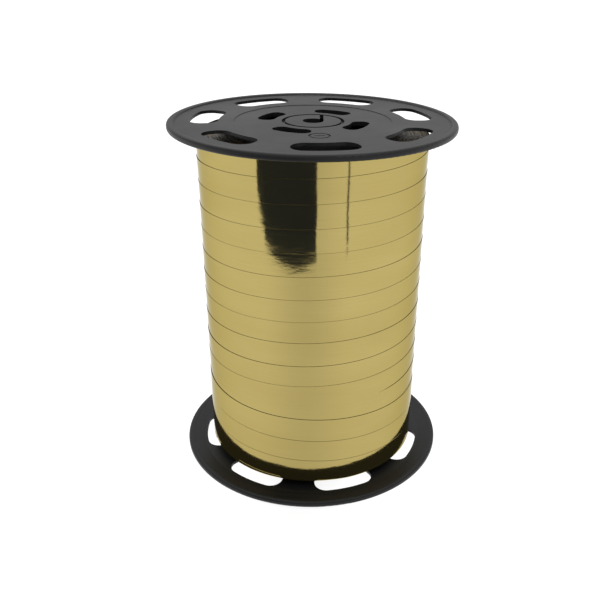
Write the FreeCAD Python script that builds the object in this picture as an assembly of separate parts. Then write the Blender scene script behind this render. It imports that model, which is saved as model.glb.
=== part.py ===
"""A reel of metallic curling ribbon: two moulded flanges pressed on to a core tube, and the wound ribbon.

Millimetres, +Z up. The origin is the centre of the circle that the lower flange stands on, and the reel's
axis is Z. Angles round the reel are in degrees from the front, -Y, and grow towards +X.
"""

import FreeCAD, Part
import math
import os

Vector = FreeCAD.Vector

# ---- driving dimensions -------------------------------------------------------------------------------------
FLANGE_RADIUS = 55.0        # 110 mm over the rims
REEL_HEIGHT = 140.5         # from the lower rim's foot to the upper rim's crown

RIM_HEIGHT = 2.5            # the rolled rim, over both faces
RIM_WIDTH = 2.9
RIM_ROUND = 1.0             # edge radius of the rim, which leaves a flat land to stand on
RIM_LIP = 0.6               # how far the rim stands above the web's outer face
RIM_RUNOUT = 7.0            # on the inner face the web slopes up to the rim's level over this width
WEB_THICKNESS = 1.2

HUB_RADIUS = 30.0           # the shallow recessed disc in the middle of the web
HUB_RECESS = 0.15
HUB_THICKNESS = 1.65

OUTER_SLOTS = 7
OUTER_SLOT_INNER_RADIUS = 35.8
OUTER_SLOT_OUTER_RADIUS = 46.8
OUTER_SLOT_LENGTH = 23.4
OUTER_SLOT_CORNER = 4.8

INNER_SLOTS = 4
INNER_SLOT_INNER_RADIUS = 14.8
INNER_SLOT_OUTER_RADIUS = 21.6
INNER_SLOT_LENGTH = 14.6
INNER_SLOT_CORNER = 3.0
INNER_SLOT_ANGLE = -31.5    # of one inner slot, from the middle of outer slot 0

BORE_RADIUS = 4.0           # for an 8 mm spindle
BORE_DEPTH = 8.0
COLLAR_WALL = 2.2
KEYWAY_WIDTH = 1.4
KEYWAY_REACH = 10.6         # from the axis to the keyway's far end
KEYWAY_ANGLE = 174.0        # from the middle of outer slot 0
RING_GROOVE_RADIUS = 11.3
RING_GROOVE_WIDTH = 1.3
RING_GROOVE_DEPTH = 1.0
BOSS_OUTER_RADIUS = 10.4
BOSS_WALL = 1.4
BOSS_DEPTH = 5.0

CORE_OUTER_RADIUS = 29.5
CORE_WALL = 2.0
SPIGOT_CLEARANCE = 0.15     # between the spigot and the core tube, taken up by the crush ribs
SPIGOT_WALL = 1.8
SPIGOT_DEPTH = 7.0
CRUSH_RIBS = 12
CRUSH_RIB_RADIUS = 0.5
WEB_RIBS = 4
WEB_RIB_THICKNESS = 1.2
WEB_RIB_DEPTH = 4.0

MARK_RADIUS = 4.0           # plain moulding ring, sunk in the hub disc
MARK_DISTANCE = 24.8
MARK_ANGLE = 5.3
MARK_LINE = 0.7
MARK_DEPTH = 0.35

TOP_SLOT_ANGLE = 6.0        # where outer slot 0 of each flange points
BOTTOM_SLOT_ANGLE = 18.0

RIBBON_WIDTH = 10.0
TURN_PITCH = 9.0            # each turn of the last full layer covers 1 mm of the turn before it
WINDING_FOOT = 4.2          # height of the winding's lower end
WINDING_HEAD = 135.6        # height of its upper end, clear of the upper flange
WINDING_FOOT_RADIUS = 43.5
WINDING_HEAD_RADIUS = 44.4  # the winding is a little fuller at its head
LAYER_THICKNESS = 0.9       # the last full layer with the few loose layers behind it
TURN_STEP = 0.25            # each turn's upper edge stands this far proud of the turn above
LAST_TURNS = 3              # laid back up from the foot, over the last full layer
LAST_TURN_PITCH = 9.4
LAST_TURN_THICKNESS = 0.28
LAST_TURN_STEP = 0.12
TAPE_THICKNESS = 0.2
START_TAPE_LENGTH = 25.0
START_TAPE_HEIGHT = 60.0    # height of the start tape's lower edge
END_TAPE_LENGTH = 18.0
END_TAPE_WIDTH = 12.0
END_TAPE_HEIGHT = 27.2      # height of the end tape's lower edge, which centres it on the free end
END_TAPE_ANGLE = 180.0
GAP = 0.02                  # keeps wound faces from sharing a surface
OVERRUN = 1.0               # how far a cutting shape runs past the face that it cuts
TINY = 1e-6

# ---- values that follow from them ---------------------------------------------------------------------------
CORE_INNER_RADIUS = CORE_OUTER_RADIUS - CORE_WALL
WEB_FACE = -RIM_LIP                        # heights inside a flange are below its rim's crown
WEB_UNDERSIDE = WEB_FACE - WEB_THICKNESS
HUB_FACE = WEB_FACE - HUB_RECESS
HUB_UNDERSIDE = HUB_FACE - HUB_THICKNESS
SPIGOT_OUTER_RADIUS = CORE_INNER_RADIUS - SPIGOT_CLEARANCE


def cylinder(radius, low, high):
    """A solid cylinder on the axis between two heights."""
    return Part.makeCylinder(radius, high - low, Vector(0, 0, low))


def tube(inner_radius, outer_radius, low, high):
    """A round wall on the axis between two heights."""
    return cylinder(outer_radius, low, high).cut(cylinder(inner_radius, low - OVERRUN, high + OVERRUN))


def turned(shape, angle):
    """The shape turned about the reel's axis."""
    copy = shape.copy()
    copy.rotate(Vector(0, 0, 0), Vector(0, 0, 1), angle)
    return copy


def repeated(shape, count, first_angle=0.0):
    """One compound of evenly spaced copies about the axis."""
    return Part.makeCompound([turned(shape, first_angle + 360.0 * i / count) for i in range(count)])


def revolved(outline):
    """A solid of revolution from (radius, height) points."""
    points = [Vector(radius, 0, height) for radius, height in outline]
    face = Part.Face(Part.makePolygon(points + points[:1]))
    return face.revolve(Vector(0, 0, 0), Vector(0, 0, 1), 360)


def is_upright(edge):
    """True for an edge parallel to the axis."""
    start, end = edge.Vertexes[0].Point, edge.Vertexes[-1].Point
    return math.hypot(start.x - end.x, start.y - end.y) < TINY


def arc_block(inner_radius, outer_radius, length, corner, low, high):
    """A block that follows an arc about the axis, centred on the front, with rounded corners in plan."""
    middle_radius = (inner_radius + outer_radius) / 2
    span = 2 * math.degrees(math.asin(length / 2 / middle_radius))
    sector = Part.makeCylinder(outer_radius, high - low, Vector(0, 0, low), Vector(0, 0, 1), span)
    sector = turned(sector, -90.0 - span / 2)
    block = sector.cut(cylinder(inner_radius, low - OVERRUN, high + OVERRUN))
    if corner > 0:
        block = block.makeFillet(corner, [edge for edge in block.Edges if is_upright(edge)])
    return block


def rim():
    """The rolled rim round a flange's edge, with the slope that leads up to it on the inner face."""
    ring = tube(FLANGE_RADIUS - RIM_WIDTH, FLANGE_RADIUS, -RIM_HEIGHT, 0)
    circles = [edge for edge in ring.Edges if edge.BoundBox.ZLength < TINY]
    rolled = ring.makeFillet(RIM_ROUND, circles)
    crest_radius = FLANGE_RADIUS - RIM_WIDTH / 2
    slope = revolved([
        (FLANGE_RADIUS - RIM_RUNOUT, WEB_UNDERSIDE),
        (crest_radius, WEB_UNDERSIDE),
        (crest_radius, -RIM_HEIGHT),
    ])
    return rolled.fuse(slope)


def hub_socket():
    """What stands on the inner face of the hub: spindle collar, boss, spigot and the ribs between them."""
    root = HUB_FACE - HUB_THICKNESS / 2
    collar = cylinder(BORE_RADIUS + COLLAR_WALL, HUB_FACE - BORE_DEPTH, root)
    boss = tube(BOSS_OUTER_RADIUS - BOSS_WALL, BOSS_OUTER_RADIUS, HUB_UNDERSIDE - BOSS_DEPTH, root)
    spigot = tube(SPIGOT_OUTER_RADIUS - SPIGOT_WALL, SPIGOT_OUTER_RADIUS, HUB_UNDERSIDE - SPIGOT_DEPTH, root)
    web_rib = Part.makeBox(
        WEB_RIB_THICKNESS,
        SPIGOT_OUTER_RADIUS - SPIGOT_WALL / 2 - BORE_RADIUS - COLLAR_WALL / 2,
        root - HUB_UNDERSIDE + WEB_RIB_DEPTH,
        Vector(-WEB_RIB_THICKNESS / 2, BORE_RADIUS + COLLAR_WALL / 2, HUB_UNDERSIDE - WEB_RIB_DEPTH),
    )
    ribs = repeated(web_rib, WEB_RIBS, INNER_SLOT_ANGLE + 180.0 / INNER_SLOTS)
    reach = CORE_INNER_RADIUS - GAP - CRUSH_RIB_RADIUS
    tip = Vector(reach, 0, HUB_UNDERSIDE - SPIGOT_DEPTH)
    crush_rib = Part.makeCylinder(CRUSH_RIB_RADIUS, SPIGOT_DEPTH, tip)
    return [collar, boss, spigot] + ribs.Solids + repeated(crush_rib, CRUSH_RIBS).Solids


def moulding_mark():
    """What a plain mould insert cuts into the hub disc: a ring with a bar across it."""
    foot = HUB_FACE - MARK_DEPTH
    ring = tube(MARK_RADIUS - MARK_LINE, MARK_RADIUS, foot, OVERRUN)
    length = MARK_RADIUS
    bar = Part.makeBox(length, MARK_LINE, OVERRUN - foot, Vector(-length / 2, -MARK_LINE / 2, foot))
    mark = ring.fuse(bar)
    mark.translate(Vector(0, -MARK_DISTANCE, 0))
    return turned(mark, MARK_ANGLE - TOP_SLOT_ANGLE)


def keyway():
    """A narrow slit that leaves the bore along its side and runs out to the ring groove."""
    foot = HUB_FACE - BORE_DEPTH - OVERRUN
    corner = Vector(-BORE_RADIUS, -KEYWAY_REACH, foot)
    return turned(Part.makeBox(KEYWAY_WIDTH, KEYWAY_REACH, OVERRUN - foot, corner), KEYWAY_ANGLE)


def flange():
    """One flange, outer face up, with its rim's crown at height 0 and outer slot 0 to the front."""
    web = cylinder(FLANGE_RADIUS - RIM_WIDTH / 2, WEB_UNDERSIDE, WEB_FACE)
    body = web.fuse(rim())
    body = body.cut(cylinder(HUB_RADIUS, HUB_FACE, OVERRUN))
    body = body.fuse(cylinder(HUB_RADIUS, HUB_UNDERSIDE, HUB_FACE))
    body = body.multiFuse(hub_socket())
    low, high = HUB_UNDERSIDE - OVERRUN, OVERRUN
    outer_slot = arc_block(
        OUTER_SLOT_INNER_RADIUS, OUTER_SLOT_OUTER_RADIUS, OUTER_SLOT_LENGTH, OUTER_SLOT_CORNER, low, high
    )
    inner_slot = arc_block(
        INNER_SLOT_INNER_RADIUS, INNER_SLOT_OUTER_RADIUS, INNER_SLOT_LENGTH, INNER_SLOT_CORNER, low, high
    )
    groove = tube(
        RING_GROOVE_RADIUS - RING_GROOVE_WIDTH / 2,
        RING_GROOVE_RADIUS + RING_GROOVE_WIDTH / 2,
        HUB_FACE - RING_GROOVE_DEPTH,
        OVERRUN,
    )
    bore = cylinder(BORE_RADIUS, HUB_FACE - BORE_DEPTH - OVERRUN, OVERRUN)
    body = body.cut(repeated(outer_slot, OUTER_SLOTS))
    body = body.cut(repeated(inner_slot, INNER_SLOTS, INNER_SLOT_ANGLE))
    return body.cut(groove).cut(bore).cut(keyway()).cut(moulding_mark()).removeSplitter()


def top_flange():
    """The flange at the head of the reel."""
    shape = turned(flange(), TOP_SLOT_ANGLE)
    shape.translate(Vector(0, 0, REEL_HEIGHT))
    return shape


def bottom_flange():
    """The same moulding turned over, at the foot of the reel."""
    shape = flange()
    shape.rotate(Vector(0, 0, 0), Vector(1, 0, 0), 180)
    return turned(shape, BOTTOM_SLOT_ANGLE - 180.0)


def core_tube():
    """The tube that the ribbon is wound on, held between the two hubs."""
    return tube(CORE_INNER_RADIUS, CORE_OUTER_RADIUS, -HUB_UNDERSIDE, REEL_HEIGHT + HUB_UNDERSIDE)


def winding_radius(height):
    """Outer radius of the last full layer at a height."""
    share = (height - WINDING_FOOT) / (WINDING_HEAD - WINDING_FOOT)
    return WINDING_FOOT_RADIUS + (WINDING_HEAD_RADIUS - WINDING_FOOT_RADIUS) * share


def turn_heights(low, high, pitch):
    """Heights of a layer's two ends and of the seams between its turns, from the top down."""
    heights = [high]
    while heights[-1] - pitch > low + pitch / 2:
        heights.append(heights[-1] - pitch)
    return heights + [low]


def stepped_layer(heights, thickness, rise, step):
    """A closed layer of turns, each with its upper edge proud of the turn above it."""
    outline = []
    for upper, lower in zip(heights, heights[1:]):
        outline.append((winding_radius(upper) + rise, upper))
        outline.append((winding_radius(lower) + rise - step, lower))
    for height in (heights[-1], heights[0]):
        outline.append((winding_radius(height) + rise - thickness, height))
    return revolved(outline)


def ribbon_inner_layers():
    """The ribbon under the last full layer, wound solid on the core."""
    inner_radius = CORE_OUTER_RADIUS + TAPE_THICKNESS + 2 * GAP
    backing = LAYER_THICKNESS + GAP
    return revolved([
        (inner_radius, WINDING_FOOT),
        (WINDING_FOOT_RADIUS - backing, WINDING_FOOT),
        (WINDING_HEAD_RADIUS - backing, WINDING_HEAD),
        (inner_radius, WINDING_HEAD),
    ])


def ribbon_outer_turns():
    """The last full layer, whose turns show from end to end."""
    heights = turn_heights(WINDING_FOOT, WINDING_HEAD, TURN_PITCH)
    return stepped_layer(heights, LAYER_THICKNESS, 0.0, TURN_STEP)


def ribbon_last_turns():
    """The turns laid back up from the foot over the last full layer."""
    top = WINDING_FOOT + (LAST_TURNS - 1) * LAST_TURN_PITCH + RIBBON_WIDTH
    heights = turn_heights(WINDING_FOOT, top, LAST_TURN_PITCH)
    return stepped_layer(heights, LAST_TURN_THICKNESS - GAP, LAST_TURN_THICKNESS, LAST_TURN_STEP)


def tape(inner_radius, length, width, height, angle):
    """A strip of tape bent round the winding or the core, centred on an angle."""
    strip = arc_block(inner_radius, inner_radius + TAPE_THICKNESS, length, 0.0, height, height + width)
    return turned(strip, angle)


def start_tape():
    """Holds the ribbon's first end to the core tube."""
    return tape(CORE_OUTER_RADIUS + GAP, START_TAPE_LENGTH, RIBBON_WIDTH, START_TAPE_HEIGHT, 0.0)


def end_tape():
    """Clear tape over the ribbon's free end, at the back of the reel."""
    crest = winding_radius(END_TAPE_HEIGHT + END_TAPE_WIDTH) + LAST_TURN_THICKNESS + GAP
    return tape(crest, END_TAPE_LENGTH, END_TAPE_WIDTH, END_TAPE_HEIGHT, END_TAPE_ANGLE)


PIECES = {
    "top_flange": top_flange,
    "bottom_flange": bottom_flange,
    "core_tube": core_tube,
    "start_tape": start_tape,
    "ribbon_inner_layers": ribbon_inner_layers,
    "ribbon_outer_turns": ribbon_outer_turns,
    "ribbon_last_turns": ribbon_last_turns,
    "end_tape": end_tape,
}


def main():
    os.makedirs("parts", exist_ok=True)
    for name, build in PIECES.items():
        shape = build()
        shape.exportStep("parts/" + name + ".step")
        print(name, len(shape.Solids), shape.isValid(), round(shape.Volume), shape.BoundBox)


main()
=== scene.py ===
"""Looks of a reel of mirror-gold curling ribbon, built round its CAD frame. Metres, +Z up, -Y the front."""

import math
import random

import bpy
from mathutils import Matrix, Vector


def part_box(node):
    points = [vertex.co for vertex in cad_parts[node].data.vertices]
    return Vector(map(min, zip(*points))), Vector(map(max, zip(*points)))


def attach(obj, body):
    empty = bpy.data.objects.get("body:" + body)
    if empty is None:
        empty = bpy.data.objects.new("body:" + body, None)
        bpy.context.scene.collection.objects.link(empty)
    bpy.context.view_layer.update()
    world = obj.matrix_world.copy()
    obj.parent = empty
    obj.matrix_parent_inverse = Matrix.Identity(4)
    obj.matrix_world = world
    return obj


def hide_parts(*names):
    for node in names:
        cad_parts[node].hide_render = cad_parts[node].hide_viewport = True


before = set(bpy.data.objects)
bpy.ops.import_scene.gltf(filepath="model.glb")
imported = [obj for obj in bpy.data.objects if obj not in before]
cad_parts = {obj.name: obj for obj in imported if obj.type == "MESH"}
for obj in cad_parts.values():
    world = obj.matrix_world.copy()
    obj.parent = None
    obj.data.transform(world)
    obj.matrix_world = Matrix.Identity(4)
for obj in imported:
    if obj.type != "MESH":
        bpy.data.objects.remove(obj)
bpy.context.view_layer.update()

MM = 0.001
TURN = 360.0                      # degrees

# ---- the ribbon, in metres and degrees -----------------------------------------------------------
RIBBON_WIDTH = 10.0 * MM
FOIL_THICKNESS = 0.12 * MM
PITCH = 9.0 * MM                  # the last full layer comes down by this much each turn
LAST_PITCH = 9.4 * MM             # and the last turns climb by this much
FIRST_SEAM = 5.9 * MM             # from the winding's head down to the first seam at the front
OVERLAP_STEP = 0.24 * MM          # how far a turn's edge rides up over its neighbour
EDGE_ROLL = 0.08 * MM             # how far a free lower edge rolls in
LAST_STEP = 0.07 * MM             # the last turns lap less, and their lower edges are the proud ones
LAST_LAYER_LIFT = 0.20 * MM       # how far the last turns stand out from the full layer under them
LAST_RISE = 0.5 * MM              # half a turn from their start, they are this far above the winding's foot
TAPER = 0.9 * MM                  # the winding's radius is this much larger at its head than at its foot
HEAD_BLEND = 3.0 * MM             # rounds the path where it leaves the winding's head
RIPPLE = 0.02 * MM                # depth of the winding's long shallow waves
OUTER_TURNS = (-0.5, 14.2)        # the full layer's start and end, in turns
LAST_TURNS = (-0.3, 3.0)
FRONT, BACK = 360.0, 180.0        # where turn 0 of each of them lies, in degrees
SEGMENTS_PER_TURN = 240
FOIL_CREASE = 15.0                # the foil shades smoothly over bends below this angle

# ---- places read from the frame ------------------------------------------------------------------
outer_low, outer_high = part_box("ribbon_outer_turns")
WINDING_FOOT = outer_low.z
WINDING_HEAD = outer_high.z
HEAD_RADIUS = outer_high.y
FOOT_RADIUS = HEAD_RADIUS - TAPER
CORE_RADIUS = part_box("core_tube")[1].y
FLANGE_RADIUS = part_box("top_flange")[1].y

random.seed(7)


# ---- small mesh helpers --------------------------------------------------------------------------
def make_object(name, points, faces, materials, face_materials=None, smooth_angle=35.0):
    """A smooth-shaded mesh object with its creases kept sharp."""
    mesh = bpy.data.meshes.new(name)
    mesh.from_pydata(points, [], faces)
    for material in materials:
        mesh.materials.append(material)
    if face_materials is not None:
        mesh.polygons.foreach_set("material_index", face_materials)
    mesh.polygons.foreach_set("use_smooth", [True] * len(mesh.polygons))
    mesh.set_sharp_from_angle(angle=math.radians(smooth_angle))
    mesh.update()
    obj = bpy.data.objects.new(name, mesh)
    bpy.context.scene.collection.objects.link(obj)
    return obj


def ring_faces(rings, points_per_ring, closed):
    """Quads between neighbouring rings of points. They look outwards where the rings run anticlockwise."""
    faces = []
    last = rings if closed else rings - 1
    for i in range(last):
        a, b = i * points_per_ring, (i + 1) % rings * points_per_ring
        for j in range(points_per_ring):
            k = (j + 1) % points_per_ring
            faces.append((a + j, a + k, b + k, b + j))
    return faces


def at_angle(radius, angle, height):
    """A point round the reel's axis, at an angle from the front towards +X."""
    return radius * math.sin(angle), -radius * math.cos(angle), height


def winding_radius(height):
    """Outer radius of the last full layer at a height: the winding is a little fuller at its head."""
    share = (height - WINDING_FOOT) / (WINDING_HEAD - WINDING_FOOT)
    return FOOT_RADIUS + (HEAD_RADIUS - FOOT_RADIUS) * share


def smooth_step(value, low, high):
    """0 below low, 1 above high and an S curve between them."""
    t = min(max((value - low) / (high - low), 0.0), 1.0)
    return t * t * (3 - 2 * t)


def soft_min(a, b, blend):
    """The smaller of two values, rounded where they cross."""
    h = max(blend - abs(a - b), 0.0) / blend
    return min(a, b) - h * h * blend / 4


# ---- the ribbon's path ---------------------------------------------------------------------------
# Places along the full layer are counted in turns from the head. Shares are of OVERLAP_STEP.
SLIPS = {8: 0.5 * MM, 9: -0.4 * MM}   # turns that slipped from their even height, and how far
SLIP_SPAN = 0.45
LAST_SLIP = 0.5                   # the last turns slip by this share of what the full layer does,
LAST_SLIP_OFFSET = 3              # this many turns further along
EVEN_LAP = 0.62                   # the share by which an edge usually stands out,
LAP_DRIFT = 0.14                  # and how much that varies
PROUD = {1: 0.75, 9.1: 0.15}      # turns whose edge stands out further, and the share added there
PROUD_SPAN = 0.3
FLUSH_TURN = 11.2                 # here one turn lies flush with the next, and no seam shows
FLUSH_SPAN = 0.33
FLUSH_BLEND = 0.04
FLUSH_DEPTH = 0.1                 # the share by which the flush edge tucks under


def bulge(turns, centre, span):
    """1 at a place along the ribbon, and falling away to both sides of it."""
    return math.exp(-((turns - centre) / span) ** 2)


def slip(turns):
    """The ribbon's small errors of height along its length."""
    total = 0.07 * MM * math.sin(turns * 2.9) + 0.05 * MM * math.sin(turns * 7.3 + 1.0)
    for turn, height in SLIPS.items():
        total += height * bulge(turns, turn, SLIP_SPAN)
    return total


def outer_path(turns):
    """The last full layer, wound downwards: upper edge, lift, and how far its two edges stand out."""
    even = WINDING_HEAD - FIRST_SEAM - PITCH * (turns - 1)
    upper = soft_min(WINDING_HEAD, even, HEAD_BLEND) + slip(turns)
    upper = max(upper, WINDING_FOOT + RIBBON_WIDTH)
    seam = EVEN_LAP + LAP_DRIFT * math.sin(turns * 4.1 + 0.5)
    for turn, further in PROUD.items():
        seam += further * bulge(turns, turn, PROUD_SPAN)
    flush = 1 - smooth_step(abs(turns - FLUSH_TURN), FLUSH_SPAN - FLUSH_BLEND, FLUSH_SPAN)
    raised = OVERLAP_STEP * (seam * (1 - flush) - FLUSH_DEPTH * flush)
    return upper, 0.0, raised, 0.0


def last_path(turns):
    """The last turns, wound upwards from the foot over the full layer: the same four values."""
    lower = WINDING_FOOT + LAST_RISE + LAST_PITCH * (turns - 0.5)
    lower = max(lower, WINDING_FOOT) + LAST_SLIP * slip(turns + LAST_SLIP_OFFSET)
    return lower + RIBBON_WIDTH, LAST_LAYER_LIFT, 0.0, LAST_STEP


# Where the foil's section has points, in shares of the ribbon's width from its upper edge.
SECTION = [0.0, 0.04, 0.12, 0.25, 0.4, 0.55, 0.7, 0.82, 0.92, 0.975, 1.0]


def ribbon_section(path, turns):
    """(radius, height) points round the foil's section: down its outer face, then up its inner face."""
    upper, lift, raised_upper, raised_lower = path(turns)
    outer = []
    for share in SECTION:
        height = upper - share * RIBBON_WIDTH
        radius = winding_radius(height) + lift + raised_upper * (1 - share) + raised_lower * share
        outer.append((radius, height))
    radius, height = outer[-1]
    outer[-1] = (radius - EDGE_ROLL, height)
    inner = [(radius - FOIL_THICKNESS, height) for radius, height in reversed(outer)]
    return outer + inner


def wind(name, path, span, start_angle, materials):
    """Winds foil along a path. Winding goes clockwise seen from above, so the angle from the front falls."""
    first_turn, last_turn = span
    rings = int((last_turn - first_turn) * SEGMENTS_PER_TURN) + 1
    points = []
    for i in range(rings):
        turns = first_turn + (last_turn - first_turn) * i / (rings - 1)
        angle = math.radians(start_angle - turns * TURN)
        for radius, height in ribbon_section(path, turns):
            radius += ripple(angle, height)
            points.append(at_angle(radius, angle, height))
    per_ring = 2 * len(SECTION)
    # the rings run clockwise, so the faces are turned over to look outwards
    faces = [tuple(reversed(face)) for face in ring_faces(rings, per_ring, closed=False)]
    cut_edges = (len(SECTION) - 1, per_ring - 1)
    face_materials = [1 if column in cut_edges else 0 for column in range(per_ring)] * (rings - 1)
    faces.append(tuple(range(per_ring)))
    faces.append(tuple(reversed(range((rings - 1) * per_ring, rings * per_ring))))
    face_materials += [1, 1]
    return make_object(name, points, faces, materials, face_materials, smooth_angle=FOIL_CREASE)


def ripple(angle, height):
    """The winding isn't quite round: long shallow waves run over it."""
    z = height / MM
    wave = math.sin(3 * angle + z * 0.05) + 0.6 * math.sin(7 * angle - z * 0.11 + 1.3)
    wave += 0.35 * math.sin(13 * angle + z * 0.31 + 0.4)
    return RIPPLE * wave


# ---- materials -----------------------------------------------------------------------------------
class Nodes:
    """A small hand for building a material's nodes."""

    def __init__(self, name):
        self.material = bpy.data.materials.new(name)
        self.material.use_nodes = True
        self.tree = self.material.node_tree
        self.shader = self.tree.nodes["Principled BSDF"]

    def add(self, kind, inputs=None, **settings):
        """A new node, with its settings, and its inputs linked to sockets or set to values."""
        node = self.tree.nodes.new(kind)
        for key, value in settings.items():
            setattr(node, key, value)
        for key, value in (inputs or {}).items():
            self.feed(node, key, value)
        return node

    def feed(self, node, key, value):
        """Links a socket to a node's input, or sets the input to a plain value."""
        if isinstance(value, bpy.types.NodeSocket):
            self.tree.links.new(value, node.inputs[key])
        else:
            node.inputs[key].default_value = value

    def set(self, **values):
        """Sets inputs of the shader. An underscore stands for a space."""
        for key, value in values.items():
            self.shader.inputs[key.replace("_", " ")].default_value = value

    def link(self, output, name):
        """Links an output to an input of the shader."""
        self.tree.links.new(output, self.shader.inputs[name])

    def place(self, scale):
        """Object coordinates, each multiplied by a scale."""
        coordinates = self.add("ShaderNodeTexCoord").outputs["Object"]
        return self.add("ShaderNodeMapping", {"Vector": coordinates, "Scale": scale}).outputs[0]

    def noise(self, vector, detail=3.0, roughness=0.5):
        """Noise about one unit across in the given coordinates."""
        inputs = {"Vector": vector, "Scale": 1.0, "Detail": detail, "Roughness": roughness}
        return self.add("ShaderNodeTexNoise", inputs).outputs["Fac"]

    def ramp(self, value, low, high, from_low=0.3, from_high=0.7):
        """Maps a value from one range to another, and holds it at their ends."""
        inputs = {"Value": value, "From Min": from_low, "From Max": from_high, "To Min": low, "To Max": high}
        return self.add("ShaderNodeMapRange", inputs).outputs[0]

    def mix(self, factor, first, second):
        """A colour between two."""
        node = self.add("ShaderNodeMix", data_type="RGBA")
        for index, value in ((0, factor), (6, first), (7, second)):
            self.feed(node, index, value)
        return node.outputs[2]

    def bump(self, height, strength, distance, normal=None):
        """A normal bent by a height, on top of another if one is given."""
        inputs = {"Height": height, "Strength": strength, "Distance": distance}
        if normal is not None:
            inputs["Normal"] = normal
        return self.add("ShaderNodeBump", inputs).outputs[0]


def foil_material():
    """Mirror-gold metallised film, with fine streaks along its length and a slow drift of tone."""
    n = Nodes("gold_foil")
    drift = n.noise(n.place((18.0, 18.0, 60.0)), 2.0)
    streaks = n.noise(n.place((60.0, 60.0, 5200.0)), 3.0, 0.6)
    colour = n.mix(n.ramp(drift, 0, 1), (0.41, 0.325, 0.115, 1), (0.45, 0.365, 0.135, 1))
    colour = n.mix(n.ramp(streaks, 0, 0.35), colour, (0.38, 0.30, 0.10, 1))
    n.link(colour, "Base Color")
    n.link(n.ramp(streaks, 0.04, 0.10), "Roughness")
    waves = n.noise(n.place((110.0, 110.0, 260.0)), 3.0, 0.55)
    smooth = n.bump(waves, 0.10, 0.0003)
    n.link(n.bump(streaks, 0.03, 0.0001, smooth), "Normal")
    n.set(Metallic=1.0, Specular_Tint=(0.66, 0.63, 0.52, 1))
    return n.material


def edge_and_seam_shade_material():
    """The cut edge of the film, dull and dark; its dark colour is partly painted shade for the shadow in the
    gaps along the seams.
    """
    n = Nodes("foil_edge_and_seam_shade")
    grain = n.noise(n.place((900.0, 900.0, 900.0)))
    # dark edge colour: the film's own dull edge, darkened further as painted shade for the seam gaps
    n.link(n.mix(n.ramp(grain, 0, 1), (0.125, 0.098, 0.025, 1), (0.22, 0.17, 0.05, 1)), "Base Color")
    n.set(Roughness=0.6, Metallic=0.3)
    return n.material


def shaded_pack_material():
    """The edges of the hidden layers, seen end on: film edges darkened with painted shade for the shadow the
    flanges cast on the winding's ends, with lighter patches of gold.
    """
    n = Nodes("wound_edges_painted_shade")
    rings = n.noise(n.place((700.0, 700.0, 700.0)), 2.0)
    # the near-black end of this mix is painted shade for the shadow over the winding's ends
    n.link(n.mix(n.ramp(rings, 0, 1), (0.016, 0.012, 0.006, 1), (0.16, 0.115, 0.05, 1)), "Base Color")
    n.link(n.ramp(rings, 0.3, 0.55), "Roughness")
    n.set(Metallic=0.7)
    return n.material


def flange_material():
    """Black moulded plastic with a satin, faintly pebbled face."""
    n = Nodes("moulded_black")
    pebble = n.noise(n.place((2600.0, 2600.0, 2600.0)), 2.0, 0.6)
    flow = n.noise(n.place((28.0, 28.0, 28.0)), 4.0, 0.6)
    n.link(n.mix(n.ramp(flow, 0, 1), (0.0045, 0.0047, 0.0052, 1), (0.0075, 0.0077, 0.0082, 1)), "Base Color")
    n.link(n.ramp(flow, 0.38, 0.48), "Roughness")
    n.link(n.bump(pebble, 0.12, 0.00006), "Normal")
    n.set(IOR=1.5, Specular_IOR_Level=0.25)
    return n.material


def core_material():
    """Dull black plastic of the core tube."""
    n = Nodes("core_black")
    flow = n.noise(n.place((45.0, 45.0, 8.0)), 3.0)
    n.link(n.mix(n.ramp(flow, 0, 1), (0.012, 0.012, 0.013, 1), (0.02, 0.02, 0.021, 1)), "Base Color")
    n.link(n.ramp(flow, 0.5, 0.62), "Roughness")
    return n.material


def tape_material():
    """Clear adhesive tape, a little cloudy."""
    n = Nodes("clear_tape")
    cloud = n.noise(n.place((240.0, 240.0, 90.0)), 3.0)
    n.link(n.mix(n.ramp(cloud, 0, 1), (0.80, 0.79, 0.73, 1), (0.90, 0.89, 0.85, 1)), "Base Color")
    n.link(n.ramp(cloud, 0.12, 0.25), "Roughness")
    n.link(n.ramp(cloud, 0.22, 0.32), "Alpha")
    n.set(IOR=1.47)
    return n.material


def dress(node, material):
    """Gives a CAD node its material."""
    for material_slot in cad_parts[node].material_slots:
        material_slot.material = material


# ---- pieces --------------------------------------------------------------------------------------
LAYERS_SHOWN = 40
LAYER_SEGMENTS = 180
CORE_GAP = 0.25 * MM              # between the core tube and the first layer
LAST_LAYER_DEPTH = 0.5 * MM       # the hidden layers end this far inside the winding's outside
DIP = (0.02 * MM, 0.5 * MM)       # how far inside the winding's ends a layer's edge can lie
STEP_SLOPE = 0.15                 # the share of a layer's thickness that slopes to the next


def outer_turns(materials):
    """The last full layer: one ribbon wound from the head to the foot, every turn lapped on the one above."""
    piece = wind("ribbon_outer_winding", outer_path, OUTER_TURNS, FRONT, materials)
    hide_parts("ribbon_outer_turns")
    return piece


def last_turns(materials):
    """The same ribbon laid back up over the foot of the winding, to its free end at the back."""
    piece = wind("ribbon_last_winding", last_path, LAST_TURNS, BACK, materials)
    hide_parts("ribbon_last_turns")
    return piece


def stepped(edges):
    """A line of (radius, height) points made into steps, each with a short slope to the next."""
    points = []
    for (radius, height), (next_radius, _) in zip(edges, edges[1:]):
        points += [(radius, height), (next_radius - (next_radius - radius) * STEP_SLOPE, height)]
    return points + edges[-1:]


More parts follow.
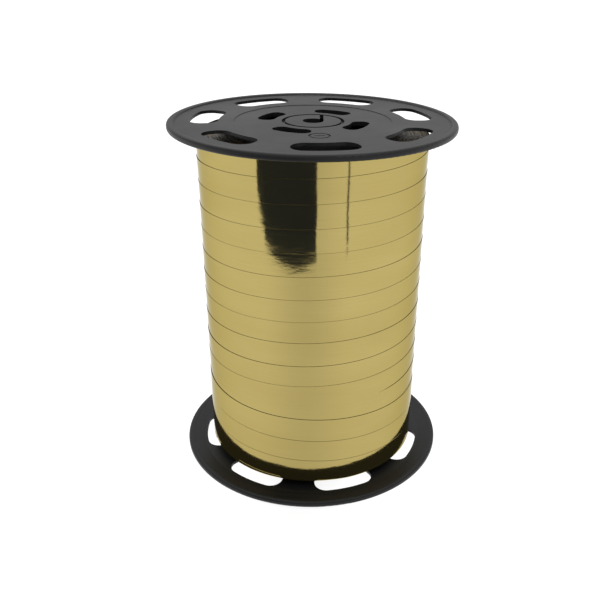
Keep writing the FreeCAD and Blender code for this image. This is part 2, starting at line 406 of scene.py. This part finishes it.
def inner_layers(material):
    """The hidden layers, with the edge of every few turns showing at both ends of the winding."""
    inner_radius = CORE_RADIUS + CORE_GAP
    top_depth = winding_radius(WINDING_HEAD) - LAST_LAYER_DEPTH - inner_radius
    bottom_depth = winding_radius(WINDING_FOOT) - LAST_LAYER_DEPTH - inner_radius
    top_edges, bottom_edges = [], []
    for i in range(LAYERS_SHOWN + 1):
        share = i / LAYERS_SHOWN
        top_edges.append((inner_radius + top_depth * share, WINDING_HEAD - random.uniform(*DIP)))
        bottom_edges.append((inner_radius + bottom_depth * share, WINDING_FOOT + random.uniform(*DIP)))
    section = stepped(top_edges) + stepped(bottom_edges[::-1])
    points = []
    for i in range(LAYER_SEGMENTS):
        angle = 2 * math.pi * i / LAYER_SEGMENTS
        points += [at_angle(radius, angle, height) for radius, height in section]
    faces = ring_faces(LAYER_SEGMENTS, len(section), closed=True)
    piece = make_object("ribbon_wound_layers", points, faces, [material])
    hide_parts("ribbon_inner_layers")
    return piece


def reel():
    """Every piece of the reel."""
    foil, edge = foil_material(), edge_and_seam_shade_material()
    pieces = [outer_turns([foil, edge]), last_turns([foil, edge]), inner_layers(shaded_pack_material())]
    for piece in pieces:
        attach(piece, "root")
    plastic = flange_material()
    dress("top_flange", plastic)
    dress("bottom_flange", plastic)
    dress("core_tube", core_material())
    tape = tape_material()
    dress("start_tape", tape)
    dress("end_tape", tape)


# ---- stage, light and camera ---------------------------------------------------------------------
FRONT_BEARING = 0.235             # middle of the painted shadow of the camera, in shares of a full turn, where 0.25 is straight in front of the reel
PAINTED_SHADOW_SPREAD = 0.12                 # and the painted shadow reaches this share to either side of it
TABLE_GLOW = 1.04
# glow inside the painted shadow of the camera, further from the reel
PAINTED_SHADOW_GLOW = 0.80
NEAR_PAINTED_SHADOW_GLOW = 0.87                  # glow of the painted shadow in front of the reel, where the table is still in the picture
NEAR_REACH = 0.11                 # distance from the reel's axis where the painted shadow's near glow starts to fall,
FAR_REACH = 0.20                  # and where it has come down to its far glow
TABLE_WIDTH = 12.0
TABLE_DROP = 0.2 * MM             # keeps the table top clear of the reel's foot
ROOM_GLOW = 0.8
CARD_HEIGHT = 0.12
# The dark cards, and the two places on the table that each stands between.
DARK_CARDS = {
    "dark_card_left": ((-0.284, -0.226), (-0.178, -0.216)),
    "dark_card_right": ((-0.206, -0.210), (0.016, -0.263)),
    "dark_strip": ((0.1455, -0.2415), (0.1520, -0.2380)),
}


def plane(name, width, depth, matrix, material):
    """A flat card of the stage, lying in the XY plane of its matrix."""
    x, y = width / 2, depth / 2
    points = [(-x, -y, 0), (x, -y, 0), (x, y, 0), (-x, y, 0)]
    card = make_object(name, points, [(0, 1, 2, 3)], [material])
    card.matrix_world = matrix
    return card


def matt(name, colour):
    """The matt surface of a card."""
    n = Nodes(name)
    n.set(Base_Color=(*colour, 1), Roughness=0.9, Specular_IOR_Level=0.1)
    return n.material


def light_table():
    """A white table top lit from below, with a painted shadow of the camera: it glows less in front of the
    reel, where the camera stands over it.
    """
    n = Nodes("light_table")
    place = n.add("ShaderNodeTexCoord").outputs["Object"]
    bearing = n.add("ShaderNodeTexGradient", {"Vector": place}, gradient_type="RADIAL").outputs["Fac"]
    off_middle = n.add("ShaderNodeMath", {0: bearing, 1: FRONT_BEARING}, operation="SUBTRACT").outputs[0]
    aside = n.add("ShaderNodeMath", {0: off_middle}, operation="ABSOLUTE").outputs[0]
    reach = n.add("ShaderNodeVectorMath", {0: place}, operation="LENGTH").outputs["Value"]
    # painted shadow of the camera: the glow is lower in a wedge in front of the reel
    painted_shadow_glow = n.ramp(reach, NEAR_PAINTED_SHADOW_GLOW, PAINTED_SHADOW_GLOW, NEAR_REACH, FAR_REACH)
    glow = n.add(
        "ShaderNodeMapRange",
        {"Value": aside, "From Max": PAINTED_SHADOW_SPREAD, "To Min": painted_shadow_glow, "To Max": TABLE_GLOW},
        interpolation_type="SMOOTHSTEP",
    ).outputs[0]
    n.link(glow, "Emission Strength")
    n.set(Base_Color=(0.15, 0.15, 0.15, 1), Roughness=0.9, Specular_IOR_Level=0.1)
    n.set(Emission_Color=(1, 1, 1, 1))
    return n.material


def studio():
    """A white table, a soft overhead light and a dim room."""
    plane("floor", TABLE_WIDTH, TABLE_WIDTH, Matrix.Translation((0, 0, -TABLE_DROP)), light_table())
    world = bpy.data.worlds.new("room")
    bpy.context.scene.world = world
    world.use_nodes = True
    background = world.node_tree.nodes["Background"]
    background.inputs["Color"].default_value = (1, 1, 1, 1)
    background.inputs["Strength"].default_value = ROOM_GLOW
    area_light("overhead", place=(0.0, 0.25, 1.5), target=(0, 0, 0), size=2.2, power=14.0)
    # dark things on the table, in front of the reel and out of the picture, which the ribbon mirrors
    dark = matt("card_dark", (0.024, 0.032, 0.064))
    for name, (start, end) in DARK_CARDS.items():
        standing_card(name, start, end, dark)


def standing_card(name, start, end, material):
    """A card that stands on the table between two places and shows only in what mirrors it."""
    along = Vector((end[0] - start[0], end[1] - start[1], 0))
    upright = Matrix.Rotation(math.atan2(along.y, along.x), 4, "Z") @ Matrix.Rotation(math.pi / 2, 4, "X")
    centre = Vector(((start[0] + end[0]) / 2, (start[1] + end[1]) / 2, CARD_HEIGHT / 2))
    card = plane(name, along.length, CARD_HEIGHT, Matrix.Translation(centre) @ upright, material)
    card.visible_camera = False
    card.visible_shadow = False
    card.visible_diffuse = False


def area_light(name, place, target, size, power):
    """A square softbox that faces a point."""
    light = bpy.data.lights.new(name, "AREA")
    light.shape = "SQUARE"
    light.size = size
    light.energy = power
    obj = bpy.data.objects.new(name, light)
    obj.location = place
    obj.rotation_mode = "QUATERNION"
    obj.rotation_quaternion = (Vector(target) - Vector(place)).to_track_quat("-Z", "Y")
    bpy.context.scene.collection.objects.link(obj)


# The camera stands in front of the reel and looks down on it. Distances are in flange radii.
CAMERA_DISTANCE = 5.416
CAMERA_HEIGHT = 3.694
CAMERA_PITCH = 0.4355             # radians below the horizon
CAMERA_YAW = 0.0300               # radians towards +X
CAMERA_ROLL = 0.0166
CAMERA_LENS = 46.78               # millimetres
SENSOR_WIDTH = 36.0
SHIFT_RIGHT = 0.056               # the lens's axis lies this share of the picture's width right of its centre


def camera():
    """The photograph's view."""
    data = bpy.data.cameras.new("camera")
    obj = bpy.data.objects.new("camera", data)
    bpy.context.scene.collection.objects.link(obj)
    bpy.context.scene.camera = obj
    data.sensor_width = SENSOR_WIDTH
    data.lens = CAMERA_LENS
    data.shift_x = -SHIFT_RIGHT
    data.clip_start, data.clip_end = 0.01, 50.0
    level = math.cos(CAMERA_PITCH)
    forward = Vector((math.sin(CAMERA_YAW) * level, math.cos(CAMERA_YAW) * level, -math.sin(CAMERA_PITCH)))
    right = Vector((math.cos(CAMERA_YAW), -math.sin(CAMERA_YAW), 0))
    up = right.cross(forward)
    rolled_right = right * math.cos(CAMERA_ROLL) + up * math.sin(CAMERA_ROLL)
    rolled_up = up * math.cos(CAMERA_ROLL) - right * math.sin(CAMERA_ROLL)
    obj.matrix_world = Matrix((
        (rolled_right.x, rolled_up.x, -forward.x, 0),
        (rolled_right.y, rolled_up.y, -forward.y, -CAMERA_DISTANCE * FLANGE_RADIUS),
        (rolled_right.z, rolled_up.z, -forward.z, CAMERA_HEIGHT * FLANGE_RADIUS),
        (0, 0, 0, 1),
    ))


reel()
studio()
camera()
bpy.context.scene.view_settings.view_transform = "Standard"
